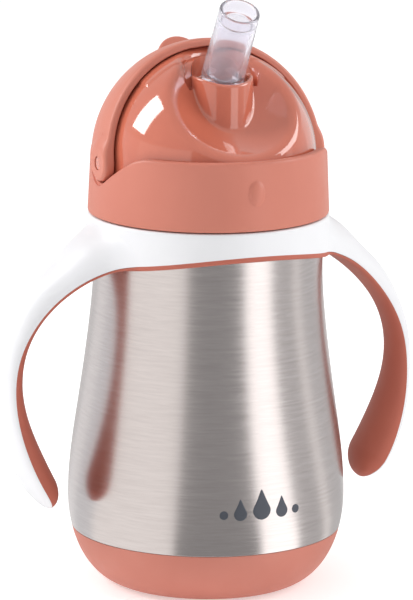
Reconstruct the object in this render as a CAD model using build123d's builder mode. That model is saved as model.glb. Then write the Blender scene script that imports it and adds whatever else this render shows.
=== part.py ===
from build123d import *
import math
import os

# Insulated straw cup for a toddler: steel flask, two-handled ring, screw lid, folding straw, swinging cover.
#
# Millimetres. +Z is up and the origin is the middle of the foot.
# The spout leans to -Y and the handles stand at +X and -X.

os.makedirs("parts", exist_ok=True)

# ---- driving dimensions: flask ----------------------------------------------------------------
body_r = 40.0  # widest radius, low on the flask
belly_z = 25.3  # height of the widest radius
shoulder_z = 98.9  # where the straight top of the body starts to round over
shoulder_w = 3.6  # how far that straight top stands outside the neck
shoulder_drop = 1.7  # from the flat at the neck's foot down to shoulder_z
low_share = 0.38  # shares of the rise from belly_z to shoulder_z at which the side is given
high_share = 0.71
straight_share = 0.92
slope_share = 0.59  # how much of body_r - shoulder_r is left at low_share
upper_share = 0.14  # and at high_share
neck_r = 29.3  # outside of the neck
neck_h = 16.2  # from the flat at its foot to the mouth
neck_round = 0.6
steel_t = 0.7  # outer shell sheet
liner_t = 0.6  # inner vessel sheet
vacuum_gap = 2.3  # between the two steel walls
liner_floor_z = 8.0  # inside floor of the vessel
seal_r = 3.0  # solder plug in the base plate's dimple
seal_t = 1.0
seal_wall = 1.5
getter_r = 4.0
getter_t = 1.2
getter_x = 14.0

# ---- driving dimensions: boot ------------------------------------------------------------------
boot_z = 16.1  # top edge of the silicone boot
boot_t = 1.8
foot_r = 24.5  # radius of the flat the cup stands on
foot_recess_r = 18.5
foot_recess = 0.7
plate_gap = 1.0  # how much smaller the base plate is than the foot

# ---- driving dimensions: thread ----------------------------------------------------------------
pitch = 4.0
thread_depth = 1.1
thread_foot_w = 1.9  # width of a ridge at its root
thread_crest_w = 0.9
thread_turns = 1.0
thread_top_gap = 1.3  # from the mouth down to the neck thread's upper end
thread_gap = 0.3  # radial play between the two threads
thread_buried = 0.25  # how far a ridge's foot reaches into its wall

# ---- driving dimensions: handle ring -----------------------------------------------------------
ring_h = 7.8  # from the neck's flat to the collar's lower edge
ring_play = 0.35  # between the ring and whatever turns or slides past it
ring_sink = 0.7  # from the neck's flat down to the ring's lower edge at the front and back
ring_drop = 5.2  # how much lower the ring's edge is beside the handles than at the front and back
grip_t = 1.3  # soft grip under the ring's edge
grip_seam = 0.03  # bonded joint between the two materials of an arm
skirt_play = 0.35  # between the skirt and the flask

# ---- driving dimensions: lid -------------------------------------------------------------------
collar_h = 19.5
collar_t = 2.4  # wall at the top edge
collar_taper = 0.9  # how much wider the collar is at its lower edge
collar_play = 0.2  # how far the collar's wall reaches in under the cover
gasket_t = 1.5
gasket_lap = 0.3  # how far the gasket reaches inside the mouth
flange_t = 1.9
flange_step = 0.6  # from the thread's bore out to the flange's seat
flange_lap = 0.5  # how far the flange stands out past the dome's wall
flange_play = 0.05
snap_t = 1.5  # height of the lip that holds the flange down
snap_play = 0.15
dome_t = 1.8
pivot_rise = 7.3  # from the mouth to the cover's axis, which is the dome's centre
crown_step = 0.35  # how far the crown under the open cover is raised
crown_side = 21.8
crown_front = 5.0
crown_w = 24.0
bowl_r = 32.4  # ball that hollows the bowl
bowl_depth = 11.7  # how deep that ball cuts into the dome
bowl_angle = 45.0  # direction of its centre above the horizontal, towards the front
seat_gap = 3.1  # from the gasket's outside in to the lid's hollow
seat_t = 2.4
spout_y = -8.8
spout_r = 8.85
spout_t = 1.6
spout_front_drop = 7.7  # from the dome's top down to the spout's rim at the front
spout_side_drop = 5.8
spout_low_gap = 0.05  # between the bowl's underside and the plug pressed up under the spout
well_drop = 9.8
well_gap = 1.6  # round the spout
valve_y = 17.0
valve_drop = 6.38  # from the dome's skin down to the valve's seat
valve_r = 4.0
valve_t = 1.2
valve_seat_rim = 1.0
valve_stem_r = 1.9
valve_stem_l = 4.0
valve_bill_l = 3.0
valve_play = 0.05
stud_r = 1.9
stud_play = 0.08
stud_short = 0.2  # how far the stud stays inside the arm's face
notch_flare_r = 12.0
mark_w = 4.8
mark_h = 7.0
mark_rise = 10.7  # from the collar's lower edge to the mark's middle
mark_proud = 0.6
mark_sunk = 1.5

# ---- driving dimensions: cover -----------------------------------------------------------------
cover_gap = 0.7  # between the dome and the cover
cover_t = 2.1
cover_travel = 70.0  # degrees
arm_r = 5.2  # rounded end of each arm, round the axis
arm_play = 0.45  # between an arm and its notch in the collar
boss_proud = 0.8  # how far the arm's end stands out past the ball
boss_root = 0.4  # how far inside the cover's wall that end starts
edge_slope = 31.7  # degrees above the horizontal of the notch's two sides
tab_angle = 130.5  # degrees round from the front
tab_sunk = 0.6
tab_r = 6.8
tab_t = 2.6
tab_round = 0.9

# ---- driving dimensions: straw -----------------------------------------------------------------
straw_lean = 29.5  # degrees from upright, towards the front
straw_play = 1.05  # between the mouthpiece and the spout's bore
tip_taper = 0.45
tip_wall = 1.5
tip_rise = 0.3  # from the spout's front rim up to the bend
tip_length = 24.2
tube_r = 3.9
tube_bore_r = 2.8
tube_floor_gap = 3.0
tube_grip = 0.5  # how far the tube reaches past the spout's lower end
nipple_t = 1.5
nipple_l = 9.5
plug_t = 1.6
plug_gap = 0.25
sleeve_h = 4.0
sleeve_play = 0.05

# ---- sizes that follow -------------------------------------------------------------------------
shoulder_r = neck_r + shoulder_w
neck_seat_z = shoulder_z + shoulder_drop
mouth_z = neck_seat_z + neck_h
rim_z = mouth_z - liner_t
plate_r = foot_r - plate_gap
liner_inset = steel_t + vacuum_gap
thread_crest_r = neck_r + thread_depth
neck_thread_z = mouth_z - thread_top_gap - pitch * thread_turns
collar_bore_r = thread_crest_r + thread_gap
flange_r = collar_bore_r + flange_step
gasket_z = mouth_z
flange_z = gasket_z + gasket_t
snap_z = flange_z + flange_t
dome_r = flange_r - flange_lap
seat_bore_r = collar_bore_r - seat_gap
cover_in_r = dome_r + cover_gap
cover_out_r = cover_in_r + cover_t
collar_in_r = cover_in_r - collar_play
collar_top_r = collar_in_r + collar_t
ring_r = collar_top_r + collar_taper
collar_bottom_z = neck_seat_z + ring_h
collar_top_z = collar_bottom_z + collar_h
mark_z = collar_bottom_z + mark_rise
ring_bore_r = thread_crest_r + ring_play
ring_bottom_z = neck_seat_z - ring_sink
ring_top_z = collar_bottom_z - ring_play
ring_seat_z = neck_seat_z + ring_play
skirt_bore_r = shoulder_r + skirt_play
pivot_z = mouth_z + pivot_rise
dome_top_z = pivot_z + dome_r
bowl_reach = dome_r + bowl_r - bowl_depth
well_z = dome_top_z - well_drop
spout_front_z = dome_top_z - spout_front_drop
spout_side_z = dome_top_z - spout_side_drop
plug_r = spout_r - plug_gap
bowl_y = -bowl_reach * math.cos(math.radians(bowl_angle))
bowl_z = pivot_z + bowl_reach * math.sin(math.radians(bowl_angle))
plug_front_y = spout_y - plug_r
spout_low_z = bowl_z - math.sqrt((bowl_r + dome_t) ** 2 - (plug_front_y - bowl_y) ** 2) - spout_low_gap
spout_bore_r = spout_r - spout_t
valve_seat_z = pivot_z + math.sqrt(dome_r**2 - valve_y**2) - valve_drop
tip_low_r = spout_bore_r - straw_play
tip_high_r = tip_low_r - tip_taper
tip_bore_r = tip_low_r - tip_wall
tip_start_z = spout_front_z + tip_rise
tube_top_z = spout_low_z + tube_grip
nipple_r = tube_r + nipple_t
nipple_z = spout_low_z - nipple_l


def half_outline(inset, foot_z, top_z, top_r):
    """Face between the axis and the flask's side, drawn inset inwards, closed at foot_z and top_z."""
    slope_r = shoulder_r + slope_share * (body_r - shoulder_r)
    upper_r = shoulder_r + upper_share * (body_r - shoulder_r)
    rise = shoulder_z - belly_z
    straight_z = belly_z + straight_share * rise
    with BuildSketch(Plane.XZ) as half:
        with BuildLine():
            Line((0, foot_z), (foot_r, foot_z))
            EllipticalCenterArc(
                (foot_r, belly_z), body_r - foot_r - inset, belly_z - foot_z, start_angle=270, arc_size=90
            )
            Spline(
                (body_r - inset, belly_z),
                (slope_r - inset, belly_z + low_share * rise),
                (upper_r - inset, belly_z + high_share * rise),
                (shoulder_r - inset, straight_z),
                tangents=[(0, 1), (0, 1)],
            )
            Polyline(
                (shoulder_r - inset, straight_z),
                (shoulder_r - inset, shoulder_z - inset),
                (top_r + neck_round, neck_seat_z - inset),
                (top_r, neck_seat_z - inset + neck_round),
                (top_r, top_z),
                (0, top_z),
                (0, foot_z),
            )
        make_face()
    return half.sketch


def thread(root_r, crest_r, start_z):
    """One helical ridge from root_r to crest_r, starting at +X at start_z."""
    buried = thread_buried if crest_r < root_r else -thread_buried
    with BuildPart() as ridge:
        with BuildLine() as path:
            Helix(pitch, pitch * thread_turns, root_r, center=(0, 0, start_z))
        with BuildSketch(Plane(path.line @ 0, x_dir=(1, 0, 0), z_dir=path.line % 0)):
            with BuildLine():
                Polyline(
                    (buried, thread_foot_w / 2),
                    (crest_r - root_r, thread_crest_w / 2),
                    (crest_r - root_r, -thread_crest_w / 2),
                    (buried, -thread_foot_w / 2),
                    close=True,
                )
            make_face()
        sweep(path=path.line, is_frenet=True)
    return ridge.part


def save(part, name):
    """Label a finished piece and write it to its own file."""
    part.label = name
    export_step(part, f"parts/{name}.step")


# ---- flask -------------------------------------------------------------------------------------
neck_thread = thread(neck_r, thread_crest_r, neck_thread_z)

with BuildPart() as base_boot:
    revolve(half_outline(0, 0, mouth_z, neck_r), axis=Axis.Z)
    split(bisect_by=Plane.XY.offset(boot_z), keep=Keep.BOTTOM)
    revolve(half_outline(boot_t, boot_t, mouth_z, neck_r), axis=Axis.Z, mode=Mode.SUBTRACT)
    with BuildSketch(Plane.XY):
        Circle(foot_recess_r)
    extrude(amount=foot_recess, taper=45, mode=Mode.SUBTRACT)
save(base_boot.part, "base_boot")

with BuildPart() as shell_cavity:
    revolve(half_outline(steel_t, 0, rim_z, neck_r - steel_t), axis=Axis.Z)
    split(bisect_by=Plane.XY.offset(boot_z + steel_t), keep=Keep.TOP)
    revolve(half_outline(boot_t + steel_t, boot_t + steel_t, rim_z, neck_r - steel_t), axis=Axis.Z)

with BuildPart() as outer_shell:
    revolve(half_outline(0, 0, rim_z, neck_r), axis=Axis.Z)
    split(bisect_by=Plane.XY.offset(boot_z), keep=Keep.TOP)
    revolve(half_outline(boot_t, boot_t, rim_z, neck_r), axis=Axis.Z)
    add(shell_cavity.part, mode=Mode.SUBTRACT)
    with BuildSketch(Plane.XY):
        Circle(plate_r)
    extrude(amount=2 * boot_t, mode=Mode.SUBTRACT)
    add(neck_thread)
save(outer_shell.part, "outer_shell")

with BuildPart() as base_plate:
    with BuildSketch(Plane.XY.offset(boot_t)):
        Circle(plate_r)
    extrude(amount=steel_t)
    with BuildSketch(Plane.XY.offset(boot_t + steel_t)):
        Circle(seal_r + seal_wall)
    extrude(amount=seal_t)
    with BuildSketch(Plane.XY.offset(boot_t)):
        Circle(seal_r)
    extrude(amount=seal_t, mode=Mode.SUBTRACT)
save(base_plate.part, "base_plate")

with BuildPart() as vacuum_seal:
    with BuildSketch(Plane.XY.offset(boot_t)):
        Circle(seal_r)
    extrude(amount=seal_t)
save(vacuum_seal.part, "vacuum_seal")

with BuildPart() as getter_cup:
    with BuildSketch(Plane.XY.offset(boot_t + steel_t)):
        with Locations((getter_x, 0)):
            Circle(getter_r)
    extrude(amount=getter_t)
save(getter_cup.part, "getter_cup")

with BuildPart() as inner_liner:
    revolve(half_outline(liner_inset, liner_floor_z - liner_t, rim_z, neck_r - steel_t), axis=Axis.Z)
    with BuildSketch(Plane.XY.offset(rim_z)):
        Circle(neck_r)
    extrude(amount=liner_t)
    bore_r = neck_r - steel_t - liner_t
    revolve(half_outline(liner_inset + liner_t, liner_floor_z, mouth_z, bore_r), axis=Axis.Z, mode=Mode.SUBTRACT)
save(inner_liner.part, "inner_liner")

# ---- handle ring and arms ----------------------------------------------------------------------
# Stations down one arm, on the line where its two materials meet: how far it stands outside a straight line
# from the ring's wall to the flask's widest radius, how far it is below the neck's flat, half width, thickness
# outwards and inwards.
arm_bow = [
    (-5.9, 3.9, 17.5, 11.3, 1.3),
    (0.6, 4.9, 13.6, 9.2, 1.3),
    (7.6, 9.0, 9.6, 6.2, 1.5),
    (14.3, 15.1, 6.8, 5.4, 1.8),
    (19.8, 22.7, 5.7, 4.2, 2.2),
    (23.1, 31.3, 5.6, 3.3, 3.0),
    (23.7, 40.8, 6.2, 2.7, 3.8),
    (22.0, 50.8, 7.6, 2.7, 4.9),
    (18.5, 60.3, 9.0, 2.8, 5.8),
    (13.9, 68.7, 9.3, 2.2, 5.6),
    (10.4, 73.5, 6.6, 1.5, 4.0),
    (8.6, 75.7, 3.0, 0.7, 1.6),
]
arm_drop = arm_bow[-1][1]
arm_stations = [
    (ring_r + (body_r - ring_r) * drop / arm_drop + bow, neck_seat_z - drop, half_w, out_t, in_t)
    for bow, drop, half_w, out_t, in_t in arm_bow
]


def arm(outward):
    """One arm's hard outer half (outward) or soft inner half, lofted through a bow per station."""
    points = [(x, z) for x, z, *_ in arm_stations]
    with BuildPart() as blade:
        for i, (x, z, half_w, out_t, in_t) in enumerate(arm_stations):
            back, ahead = points[max(i - 1, 0)], points[min(i + 1, len(points) - 1)]
            run = Vector(ahead[0] - back[0], 0, ahead[1] - back[1])
            out = run.cross(Vector(0, 1, 0)) * -1
            level, bulge = (0, out_t) if outward else (-grip_seam, -in_t)
            with BuildSketch(Plane((x, 0, z), x_dir=(0, 1, 0), z_dir=out.cross(Vector(0, 1, 0)))):
                with BuildLine():
                    ThreePointArc((-half_w, level), (0, bulge), (half_w, level))
                    Line((half_w, level), (-half_w, level))
                make_face()
        loft()
    return blade.part


def ring_edge(raise_by):
    """Face in the YZ plane that fills everything below the ring's dipping lower edge."""
    reach = ring_r + 2
    dip = ring_drop * (reach / ring_r) ** 2
    low_z = ring_bottom_z - ring_drop + raise_by
    with BuildSketch(Plane.YZ) as below:
        with BuildLine():
            ThreePointArc((-reach, low_z + dip), (0, low_z), (reach, low_z + dip))
            Polyline((reach, low_z + dip), (reach, low_z - reach), (-reach, low_z - reach), (-reach, low_z + dip))
        make_face()
    return below.sketch


hard_arm, soft_arm = arm(True), arm(False)

with BuildPart() as handle_frame:
    with BuildSketch(Plane.XZ):
        with BuildLine():
            Polyline(
                (ring_bore_r, ring_seat_z),
                (skirt_bore_r, ring_seat_z),
                (skirt_bore_r, ring_bottom_z - 2 * ring_drop),
                (ring_r, ring_bottom_z - 2 * ring_drop),
                (ring_r, ring_top_z),
                (ring_bore_r, ring_top_z),
                close=True,
            )
        make_face()
    revolve(axis=Axis.Z)
    extrude(ring_edge(grip_t), amount=ring_r + 2, both=True, mode=Mode.SUBTRACT)
    add(hard_arm)
    add(hard_arm.rotate(Axis.Z, 180))
    split(bisect_by=Plane.XY.offset(ring_top_z), keep=Keep.BOTTOM)
    with BuildSketch(Plane.XY.offset(ring_seat_z)):
        Circle(ring_bore_r)
    extrude(amount=ring_top_z - ring_seat_z, mode=Mode.SUBTRACT)
    with BuildSketch(Plane.XY.offset(ring_seat_z)):
        Circle(skirt_bore_r)
    extrude(amount=-4 * ring_drop, mode=Mode.SUBTRACT)
save(handle_frame.part, "handle_frame")

with BuildPart() as soft_grip:
    with BuildSketch(Plane.XZ):
        with BuildLine():
            Polyline(
                (skirt_bore_r, ring_seat_z),
                (skirt_bore_r, ring_bottom_z - 2 * ring_drop),
                (ring_r, ring_bottom_z - 2 * ring_drop),
                (ring_r, ring_seat_z),
                close=True,
            )
        make_face()
    revolve(axis=Axis.Z)
    extrude(ring_edge(0), amount=ring_r + 2, both=True, mode=Mode.SUBTRACT)
    extrude(ring_edge(grip_t), amount=ring_r + 2, both=True, mode=Mode.INTERSECT)
    add(soft_arm)
    add(soft_arm.rotate(Axis.Z, 180))
    with BuildSketch(Plane.XY.offset(ring_seat_z)):
        Circle(skirt_bore_r)
    extrude(amount=-4 * ring_drop, mode=Mode.SUBTRACT)
    add(handle_frame.part, mode=Mode.SUBTRACT)
save(soft_grip.part, "handle_grip")

# ---- lid ---------------------------------------------------------------------------------------
with BuildPart() as lid_gasket:
    with BuildSketch(Plane.XY.offset(gasket_z)):
        Circle(thread_crest_r)
        Circle(neck_r - steel_t - liner_t - gasket_lap, mode=Mode.SUBTRACT)
    extrude(amount=gasket_t)
save(lid_gasket.part, "lid_gasket")


def swing_face(play, front_edge):
    """Face in the YZ plane round the pivot: a rounded foot, a rear side and a front side."""
    r = arm_r + play
    rear, front = math.radians(edge_slope), math.radians(180 - front_edge)
    low = (rear + front) / 2 + math.pi
    foot_rear = Vector(r * math.sin(rear), pivot_z - r * math.cos(rear))
    foot_front = Vector(-r * math.sin(front), pivot_z + r * math.cos(front))
    far_rear = foot_rear + Vector(math.cos(rear), math.sin(rear)) * 2 * cover_out_r
    far_front = foot_front + Vector(math.cos(front), math.sin(front)) * 2 * cover_out_r
    with BuildSketch(Plane.YZ) as face:
        with BuildLine():
            ThreePointArc(foot_front, (r * math.cos(low), pivot_z + r * math.sin(low)), foot_rear)
            Polyline(foot_rear, far_rear, far_front, foot_front)
        make_face()
    return face.sketch


def notch_face():
    """The collar's notch in the YZ plane: the arm's sweep with play, flaring into the collar's top edge."""
    r = arm_r + arm_play
    slope = math.radians(edge_slope)
    foot = Vector(r * math.sin(slope), pivot_z - r * math.cos(slope))
    corner_y = foot.X + (collar_top_z - foot.Y) / math.tan(slope)
    wide = corner_y + notch_flare_r
    with BuildSketch(Plane.YZ) as face:
        with BuildLine():
            ThreePointArc((-foot.X, foot.Y), (0, pivot_z - r), foot)
            Polyline(
                foot,
                (corner_y, collar_top_z),
                (wide, collar_top_z),
                (wide, collar_top_z + ring_r),
                (-wide, collar_top_z + ring_r),
                (-wide, collar_top_z),
                (-corner_y, collar_top_z),
                (-foot.X, foot.Y),
            )
        make_face()
        corners = [v for v in face.vertices() if abs(abs(v.X) - corner_y) < 0.01 and abs(v.Y - collar_top_z) < 0.01]
        fillet(corners, radius=notch_flare_r)
    return face.sketch


collar_thread = thread(collar_bore_r, neck_r + thread_gap, neck_thread_z - pitch / 2)

with BuildPart() as front_mark:
    with BuildSketch(Plane.XZ.offset(ring_r - mark_sunk)):
        with Locations((0, mark_z)):
            Ellipse(mark_w / 2, mark_h / 2)
    extrude(amount=mark_sunk + mark_proud)
    fillet(front_mark.faces().sort_by(Axis.Y)[0].edges(), radius=mark_proud)

with BuildPart() as lid_collar:
    with BuildSketch(Plane.XZ):
        with BuildLine():
            Polyline(
                (collar_bore_r, collar_bottom_z),
                (ring_r, collar_bottom_z),
                (collar_top_r, collar_top_z),
                (collar_in_r, collar_top_z),
                (collar_in_r, snap_z + snap_t),
                (dome_r + snap_play, snap_z + snap_t),
                (dome_r + snap_play, snap_z),
                (flange_r, snap_z),
                (flange_r, flange_z),
                (collar_bore_r, flange_z),
                close=True,
            )
        make_face()
    revolve(axis=Axis.Z)
    extrude(notch_face(), amount=2 * ring_r, both=True, mode=Mode.SUBTRACT)
    add(collar_thread)
    add(front_mark.part)
save(lid_collar.part, "lid_collar")

bowl_middle = Vector(
    0,
    bowl_y,
    bowl_z,
)


def dome_outline(ball_r, low_r, low_top_z):
    """Half section of a ball on a straight wall, with a band of low_r from the flange up to low_top_z."""
    with BuildSketch(Plane.XZ) as half:
        with BuildLine():
            Polyline((0, flange_z), (low_r, flange_z), (low_r, low_top_z), (ball_r, low_top_z), (ball_r, pivot_z))
            CenterArc((0, pivot_z), ball_r, 0, 90)
            Line((0, pivot_z + ball_r), (0, flange_z))
        make_face()
    return half.sketch


with BuildPart() as spout:
    with BuildSketch(Plane.XY.offset(spout_low_z)):
        with Locations((0, spout_y)):
            Circle(spout_r)
    extrude(amount=spout_side_z - spout_low_z)
    saddle = spout_side_z - spout_front_z
    saddle_r = (spout_r**2 + saddle**2) / (2 * saddle)
    with BuildSketch(Plane.XZ):
        with Locations((0, spout_front_z + saddle_r)):
            Circle(saddle_r)
    extrude(amount=4 * spout_r, both=True, mode=Mode.SUBTRACT)

with BuildPart() as lid_cavity:
    revolve(dome_outline(dome_r - dome_t, seat_bore_r, flange_z + seat_t), axis=Axis.Z)
    with Locations(bowl_middle):
        Sphere(bowl_r + dome_t, mode=Mode.SUBTRACT)
    with BuildSketch(Plane.XY.offset(spout_low_z)):
        with Locations((0, spout_y)):
            Circle(spout_r)
    extrude(amount=dome_r, mode=Mode.SUBTRACT)
    with BuildSketch(Plane.XY.offset(valve_seat_z)):
        with Locations((0, valve_y)):
            Circle(valve_r + valve_seat_rim)
    extrude(amount=dome_r, mode=Mode.SUBTRACT)

with BuildPart() as crown:
    with Locations((0, 0, pivot_z)):
        Sphere(dome_r + crown_step)
    with Locations((0, crown_w / 2 - crown_front, pivot_z + dome_r)):
        Box(2 * crown_side, crown_w, dome_r, mode=Mode.INTERSECT)

with BuildPart() as flange_relief:
    extrude(notch_face(), amount=2 * ring_r, both=True)
    with BuildSketch(Plane.XY.offset(flange_z)):
        Circle(2 * ring_r)
        Circle(dome_r, mode=Mode.SUBTRACT)
    extrude(amount=2 * flange_t, mode=Mode.INTERSECT)

with BuildPart() as lid_dome:
    revolve(dome_outline(dome_r, flange_r - flange_play, snap_z), axis=Axis.Z)
    add(crown.part)
    with Locations(bowl_middle):
        Sphere(bowl_r, mode=Mode.SUBTRACT)
    with BuildSketch(Plane.XY.offset(well_z)):
        with Locations((0, spout_y)):
            Circle(spout_r + well_gap)
    extrude(amount=dome_r, mode=Mode.SUBTRACT)
    add(spout.part)
    add(lid_cavity.part, mode=Mode.SUBTRACT)
    with BuildSketch(Plane.XY.offset(flange_z)):
        with Locations((0, spout_y)):
            Circle(spout_bore_r)
    extrude(amount=2 * dome_r, mode=Mode.SUBTRACT)
    with BuildSketch(Plane.XY.offset(flange_z)):
        with Locations((0, valve_y)):
            Circle(valve_stem_r + valve_play)
    extrude(amount=2 * dome_r, mode=Mode.SUBTRACT)
    add(flange_relief.part, mode=Mode.SUBTRACT)
    with BuildSketch(Plane.YZ):
        with Locations((0, pivot_z)):
            Circle(stud_r)
    stud_end = cover_out_r + boss_proud - stud_short
    extrude(amount=stud_end, both=True)
    add(lid_cavity.part, mode=Mode.SUBTRACT)
save(lid_dome.part, "lid_dome")

with BuildPart() as air_valve:
    with BuildSketch(Plane.XY.offset(valve_seat_z - valve_t)):
        with Locations((0, valve_y)):
            Circle(valve_r)
    extrude(amount=valve_t)
    with BuildSketch(Plane.XY.offset(valve_seat_z)):
        with Locations((0, valve_y)):
            Circle(valve_stem_r)
    extrude(amount=valve_stem_l)
    with BuildSketch(Plane.XY.offset(valve_seat_z - valve_t)):
        with Locations((0, valve_y)):
            Circle(valve_stem_r)
    extrude(amount=-valve_bill_l, taper=20)
save(air_valve.part, "air_valve")

# ---- cover -------------------------------------------------------------------------------------
with BuildPart() as cover_tab:
    around = math.radians(tab_angle)
    radial = Vector(0, -math.cos(around), math.sin(around))
    middle = radial * (cover_out_r - tab_sunk) + Vector(0, 0, pivot_z)
    with BuildSketch(Plane(middle, x_dir=(1, 0, 0), z_dir=Vector(1, 0, 0).cross(radial))):
        Circle(tab_r)
    extrude(amount=tab_t / 2, both=True)
    fillet(cover_tab.edges(), radius=tab_round)

with BuildPart() as straw_cover:
    with BuildSketch(Plane.XY.offset(pivot_z)):
        with BuildLine():
            CenterArc((0, 0), cover_out_r, 0, 180)
            CenterArc((0, 0), cover_in_r, 0, 180)
            Line((cover_in_r, 0), (cover_out_r, 0))
            Line((-cover_in_r, 0), (-cover_out_r, 0))
        make_face()
    revolve(axis=Axis((0, 0, pivot_z), (1, 0, 0)))
    for side in (1, -1):
        with BuildSketch(Plane.YZ.offset(side * (cover_in_r + boss_root))):
            with Locations((0, pivot_z)):
                Circle(arm_r)
        extrude(amount=side * (cover_t + boss_proud - boss_root))
    extrude(swing_face(0, edge_slope + cover_travel), amount=2 * ring_r, both=True, mode=Mode.INTERSECT)
    add(cover_tab.part)
    with Locations((0, 0, pivot_z)):
        Sphere(cover_in_r, mode=Mode.SUBTRACT)
    with BuildSketch(Plane.YZ):
        with Locations((0, pivot_z)):
            Circle(stud_r + stud_play)
    extrude(amount=2 * ring_r, both=True, mode=Mode.SUBTRACT)
save(straw_cover.part, "straw_cover")

# ---- straw -------------------------------------------------------------------------------------
lean = math.radians(straw_lean)
bend = Vector(0, spout_y, tip_start_z)
tip_axis = Vector(0, -math.sin(lean), math.cos(lean))


def cone(low_r, high_r, reach):
    """A round bar on the leaning line from the bend, low_r at its foot and high_r at the far end."""
    with BuildPart() as bar:
        for along, r in ((0, low_r), (reach, high_r)):
            with BuildSketch(Plane(bend + tip_axis * along, x_dir=(1, 0, 0), z_dir=tip_axis)):
                Circle(r)
        loft()
    return bar.part


tip_outside, tip_bore = cone(tip_low_r, tip_high_r, tip_length), cone(tip_bore_r, tip_bore_r, 2 * tip_length)

with BuildPart() as straw_mouthpiece:
    for r, low_z, high_z in (
        (nipple_r, nipple_z, spout_low_z),
        (plug_r, spout_low_z - plug_t, spout_low_z),
        (spout_bore_r - sleeve_play, spout_low_z, spout_low_z + sleeve_h),
        (tip_low_r, spout_low_z, tip_start_z),
    ):
        with BuildSketch(Plane.XY.offset(low_z)):
            with Locations((0, spout_y)):
                Circle(r)
        extrude(amount=high_z - low_z)
    with Locations(bend):
        Sphere(tip_low_r)
    add(tip_outside)
    with BuildSketch(Plane.XY.offset(nipple_z)):
        with Locations((0, spout_y)):
            Circle(tube_r)
    extrude(amount=tube_top_z - nipple_z, mode=Mode.SUBTRACT)
    with BuildSketch(Plane.XY.offset(tube_top_z)):
        with Locations((0, spout_y)):
            Circle(tip_bore_r)
    extrude(amount=tip_start_z - tube_top_z, mode=Mode.SUBTRACT)
    with Locations(bend):
        Sphere(tip_bore_r, mode=Mode.SUBTRACT)
    add(tip_bore, mode=Mode.SUBTRACT)
save(straw_mouthpiece.part, "straw_mouthpiece")

with BuildPart() as straw_tube:
    with BuildSketch(Plane.XY.offset(liner_floor_z + tube_floor_gap)):
        with Locations((0, spout_y)):
            Circle(tube_r)
            Circle(tube_bore_r, mode=Mode.SUBTRACT)
    extrude(amount=tube_top_z - liner_floor_z - tube_floor_gap)
save(straw_tube.part, "straw_tube")
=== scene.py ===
"""Looks of the insulated straw cup: brushed steel flask, white lined handles, terracotta lid, clear straw.

Lengths are millimetres in this script and become metres when a mesh is made. Azimuths are measured round +Z
from -Y, the side the straw leans to, towards +X.
"""

import bmesh
import bpy
import math
import numpy as np
from mathutils import Matrix, Vector


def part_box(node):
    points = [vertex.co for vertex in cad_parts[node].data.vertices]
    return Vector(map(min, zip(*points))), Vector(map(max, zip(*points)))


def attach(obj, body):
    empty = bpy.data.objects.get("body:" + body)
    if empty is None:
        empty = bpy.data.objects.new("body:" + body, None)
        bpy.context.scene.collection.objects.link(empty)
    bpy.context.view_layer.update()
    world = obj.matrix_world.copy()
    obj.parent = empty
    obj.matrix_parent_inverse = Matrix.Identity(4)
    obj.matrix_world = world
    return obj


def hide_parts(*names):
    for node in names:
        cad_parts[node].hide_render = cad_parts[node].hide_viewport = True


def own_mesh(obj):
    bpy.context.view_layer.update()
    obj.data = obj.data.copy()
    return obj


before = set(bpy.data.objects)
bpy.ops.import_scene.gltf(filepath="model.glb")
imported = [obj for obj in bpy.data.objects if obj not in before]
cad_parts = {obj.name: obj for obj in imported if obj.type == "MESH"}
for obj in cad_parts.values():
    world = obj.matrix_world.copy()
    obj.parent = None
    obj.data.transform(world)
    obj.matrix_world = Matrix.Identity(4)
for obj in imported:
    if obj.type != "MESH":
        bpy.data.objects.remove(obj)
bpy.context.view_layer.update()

MM = 0.001


def span(node):
    """Lowest and highest corner of a CAD node, in millimetres."""
    low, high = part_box(node)
    return np.array(low) / MM, np.array(high) / MM


# ---- sizes read from the frame ------------------------------------------------------------------
_, shell_high = span("outer_shell")
_, boot_high = span("base_boot")
_, frame_high = span("handle_frame")
collar_low, collar_high = span("lid_collar")
dome_low, dome_high = span("lid_dome")
_, cover_high = span("straw_cover")
mouthpiece_low, _ = span("straw_mouthpiece")
body_r = shell_high[0]
rim_z = shell_high[2]
boot_z = boot_high[2]
ring_top_z = frame_high[2]
collar_low_z, collar_top_z = collar_low[2], collar_high[2]
collar_low_r = collar_high[0]
dome_foot_z = dome_low[2]
stud_x = dome_high[0]
boss_x = cover_high[0]

# ---- flask --------------------------------------------------------------------------------------
gasket_t = 1.5
mouth_z = dome_foot_z - gasket_t
neck_h = 16.2
neck_seat_z = mouth_z - neck_h
shoulder_drop = 1.7  # from the flat at the neck's foot
shoulder_r, shoulder_z = 32.9, neck_seat_z - shoulder_drop
belly_z = 25.3
foot_r = 24.5
boot_t = 1.8
steel_t = 0.7
neck_r = 29.3
foot_recess_r, foot_recess = 18.5, 0.7
pitch = 4.0
thread_depth = 1.1
thread_half_w = 0.7
thread_top_gap = 1.3
neck_thread_z = mouth_z - thread_top_gap - pitch

# ---- handle ring --------------------------------------------------------------------------------
ring_r = collar_low_r
ring_bore_r, skirt_bore_r = 30.75, 33.25
ring_play = 0.35
ring_seat_z = neck_seat_z + ring_play
white_edge_z = neck_seat_z - 4.6  # lower edge of the white beside the handles
ring_drop = 5.2
edge_bend_r = (ring_r**2 + ring_drop**2) / (2 * ring_drop)  # radius of that edge's arc, seen from the side
lining_t = 1.3

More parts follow.
